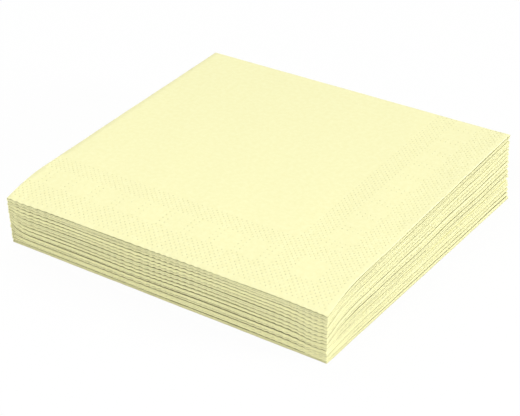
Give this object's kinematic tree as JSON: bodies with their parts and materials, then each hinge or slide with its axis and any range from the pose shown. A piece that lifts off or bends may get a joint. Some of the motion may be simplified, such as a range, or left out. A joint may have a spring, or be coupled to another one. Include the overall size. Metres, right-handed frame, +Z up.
{
  "type": "stack of paper napkins",
  "caption": "Stack of square paper napkins folded into quarters, lying flat, thicker along the folded side than along the open edges.",
  "frame": {"origin": "middle of the stack's outline, on the surface that it rests on", "axes": "+Z up through the stack; the first folds lie along the +X side and the second folds along the +Y side; the cut edges are open at -X and -Y"},
  "size_m": [0.1668, 0.1664, 0.0312],
  "materials": {
    "tissue": "soft matt two-ply tissue paper, cream yellow, embossed with a dotted border"
  },
  "bodies": {
    "root": {"napkin_01": "tissue", "napkin_02": "tissue", "napkin_03": "tissue", "napkin_04": "tissue", "napkin_05": "tissue", "napkin_06": "tissue", "napkin_07": "tissue", "napkin_08": "tissue", "napkin_09": "tissue", "napkin_10": "tissue", "napkin_11": "tissue", "napkin_12": "tissue", "napkin_13": "tissue", "napkin_14": "tissue", "napkin_15": "tissue"}
  },
  "joints": []
}
